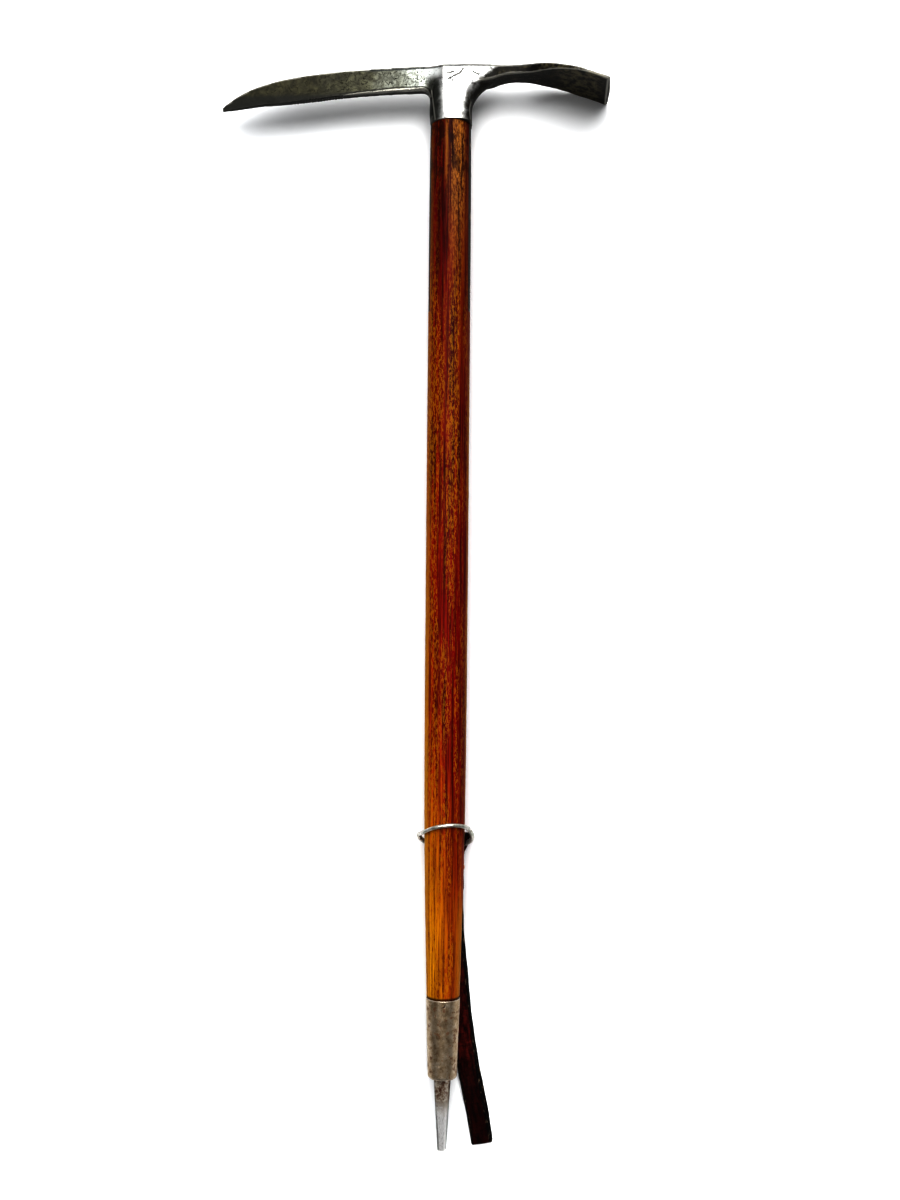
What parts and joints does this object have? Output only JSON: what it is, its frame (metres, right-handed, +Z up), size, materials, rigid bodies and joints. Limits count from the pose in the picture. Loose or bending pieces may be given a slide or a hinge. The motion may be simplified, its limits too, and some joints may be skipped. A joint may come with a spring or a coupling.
{
  "type": "ice axe",
  "caption": "Wooden-shafted ice axe: forged head with toothed pick, flared adze and langets, ferrule and spike, and a leather wrist strap on a sliding ring.",
  "frame": {"origin": "on the surface that the axe lies on, below the centre of its footprint", "axes": "+Y along the shaft from the spike to the head, +X towards the adze's edge, +Z up from the surface"},
  "size_m": [0.304, 0.8498, 0.0524],
  "materials": {
    "forged_steel": "old forged steel, dark patina on the pick's outer half, brighter at the socket",
    "varnished_wood": "reddish-brown varnish over straight grain, worn lighter towards the foot",
    "ferrule_steel": "grey-brown steel with rust spots",
    "spike_steel": "bright worn steel, darker on its side faces",
    "ring_steel": "dull steel wire with small dents",
    "rivet_iron": "dark iron filed flush",
    "leather": "very dark red-brown leather, creased and scuffed",
    "copper": "dull copper"
  },
  "bodies": {
    "axe": {"head": "forged_steel", "shaft": "varnished_wood", "langet_rivet_lower": "rivet_iron", "langet_rivet_middle": "rivet_iron", "langet_rivet_upper": "rivet_iron", "ferrule": "ferrule_steel", "ferrule_pin": "rivet_iron", "spike": "spike_steel"},
    "ring": {"wrist_ring": "ring_steel"},
    "eye": {"ring_eye": "leather", "eye_rivet": "copper"},
    "strap": {"wrist_strap": "leather"}
  },
  "joints": [
    {"name": "ring_slide", "type": "slide", "parent": "axe", "child": "ring", "axis": [0, 1, 0], "range_m": [-0.12, 0.535]},
    {"name": "eye_turn", "type": "hinge", "parent": "ring", "child": "eye", "pos_m": [0.0294, -0.17557, 0.0229], "axis": [0, -0.848, 0.5299], "range_deg": [-60, 25]},
    {"name": "strap_swing", "type": "hinge", "parent": "eye", "child": "strap", "pos_m": [0.04011, -0.20809, 0.00594], "axis": [0.9107, 0, 0.4131], "range_deg": [0, 130]}
  ]
}
